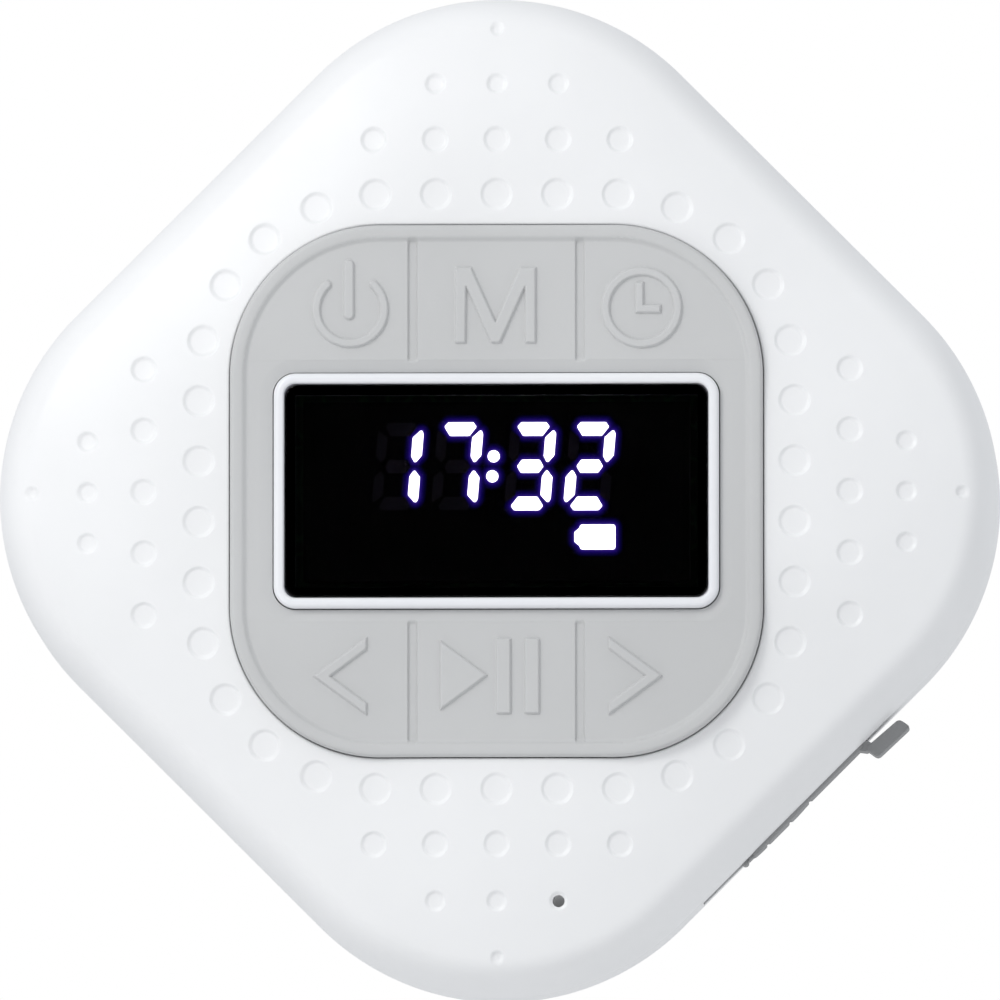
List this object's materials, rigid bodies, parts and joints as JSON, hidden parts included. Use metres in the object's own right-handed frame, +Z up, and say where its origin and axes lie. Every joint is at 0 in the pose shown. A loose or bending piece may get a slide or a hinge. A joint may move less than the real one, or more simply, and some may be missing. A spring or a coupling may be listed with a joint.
{
  "type": "shower speaker",
  "caption": "Rounded diamond shower speaker with a dimpled face, rubber keypad round a clock display, side port flap and suction cup.",
  "frame": {"origin": "centre of the suction cup's contact face, on the wall", "axes": "+Y into the wall, -Y the way the face looks, +Z up, +X to the right of someone facing the speaker"},
  "size_m": [0.1398, 0.0536, 0.1398],
  "materials": {
    "shell_white": "fine satin, moulded",
    "keypad_grey": "matt silicone",
    "bezel_white": "smooth",
    "lens_smoked": "polished, smoked, clear enough for the lit bars",
    "lit_bars": "lit white with a violet edge",
    "dark_bars": "unlit",
    "module_black": "matt",
    "flap_grey": "matt silicone",
    "cup_clear": "translucent soft rubber",
    "grille_grey": "satin",
    "plug_grey": "matt",
    "seal_black": "matt",
    "mesh_black": "fine woven",
    "carbon": "carbon filled",
    "steel": "zinc plated",
    "gold_pads": "gold plated",
    "board_green": "solder mask",
    "chip_black": "moulded",
    "can_tin": "tinned",
    "capacitor": "sleeved",
    "socket_cream": "moulded nylon",
    "ribbon": "polyimide",
    "jack_black": "moulded",
    "cell_wrap": "shrink wrap",
    "cradle": "satin",
    "lead_red": "insulation",
    "lead_black": "insulation",
    "basket_steel": "black paint",
    "ferrite": "sintered",
    "plated_iron": "zinc plated",
    "spider_cloth": "phenolic cotton",
    "cone_paper": "coated paper",
    "copper": "enamelled copper"
  },
  "bodies": {
    "wall_cup": {"suction_cup": "cup_clear"},
    "housing": {"front_shell": "shell_white", "rear_housing": "shell_white", "shell_gasket": "seal_black", "speaker_grille": "grille_grey", "grille_mesh": "mesh_black", "shell_screws": "steel", "screw_plugs": "plug_grey", "flap_tether": "flap_grey", "keypad_frame": "keypad_grey", "display_bezel": "bezel_white", "display_lens": "lens_smoked", "display_module": "module_black", "lit_segments": "lit_bars", "unlit_segments": "dark_bars", "battery_indicator": "lit_bars", "display_pins": "gold_pads", "keypad_board": "board_green", "contact_pads": "gold_pads", "keypad_board_screws": "steel", "main_board": "board_green", "main_board_screws": "steel", "bluetooth_module": "can_tin", "amplifier_chip": "chip_black", "charger_chip": "chip_black", "board_capacitors": "capacitor", "board_sockets": "socket_cream", "ribbon_cable": "ribbon", "usb_shell": "can_tin", "usb_tongue": "chip_black", "aux_jack": "jack_black", "microphone_capsule": "can_tin", "microphone_boot": "seal_black", "battery_cell": "cell_wrap", "battery_cradle": "cradle", "battery_leads": "lead_red", "speaker_leads": "lead_black", "speaker_gasket": "seal_black", "speaker_basket": "basket_steel", "speaker_screws": "steel", "speaker_magnet": "ferrite", "magnet_top_plate": "plated_iron", "magnet_yoke": "plated_iron", "cone_spider": "spider_cloth", "cone_surround": "seal_black"},
    "power_key": {"key_power": "keypad_grey", "pill_power": "carbon"},
    "mode_key": {"key_mode": "keypad_grey", "pill_mode": "carbon"},
    "clock_key": {"key_clock": "keypad_grey", "pill_clock": "carbon"},
    "previous_key": {"key_previous": "keypad_grey", "pill_previous": "carbon"},
    "play_key": {"key_play": "keypad_grey", "pill_play": "carbon"},
    "next_key": {"key_next": "keypad_grey", "pill_next": "carbon"},
    "flap": {"port_flap": "flap_grey"},
    "cone": {"speaker_cone": "cone_paper", "voice_coil": "copper"}
  },
  "joints": [
    {"name": "cup_swivel", "type": "hinge", "parent": "wall_cup", "child": "housing", "pos_m": [0, 0, 0], "axis": [0, 1, 0], "continuous": true},
    {"name": "flap_hinge", "type": "hinge", "parent": "housing", "child": "flap", "pos_m": [0.03426, -0.0275, -0.05066], "axis": [0, 1, 0], "range_deg": [0, 140]},
    {"name": "cone_travel", "type": "slide", "parent": "housing", "child": "cone", "axis": [0, 1, 0], "range_m": [-0.001, 0.001], "stiffness_N_per_m": 1200},
    {"name": "power_press", "type": "slide", "parent": "housing", "child": "power_key", "axis": [0, 1, 0], "range_m": [0, 0.0008], "stiffness_N_per_m": 1500},
    {"name": "mode_press", "type": "slide", "parent": "housing", "child": "mode_key", "axis": [0, 1, 0], "range_m": [0, 0.0008], "stiffness_N_per_m": 1500},
    {"name": "clock_press", "type": "slide", "parent": "housing", "child": "clock_key", "axis": [0, 1, 0], "range_m": [0, 0.0008], "stiffness_N_per_m": 1500},
    {"name": "previous_press", "type": "slide", "parent": "housing", "child": "previous_key", "axis": [0, 1, 0], "range_m": [0, 0.0008], "stiffness_N_per_m": 1500},
    {"name": "play_press", "type": "slide", "parent": "housing", "child": "play_key", "axis": [0, 1, 0], "range_m": [0, 0.0008], "stiffness_N_per_m": 1500},
    {"name": "next_press", "type": "slide", "parent": "housing", "child": "next_key", "axis": [0, 1, 0], "range_m": [0, 0.0008], "stiffness_N_per_m": 1500}
  ]
}
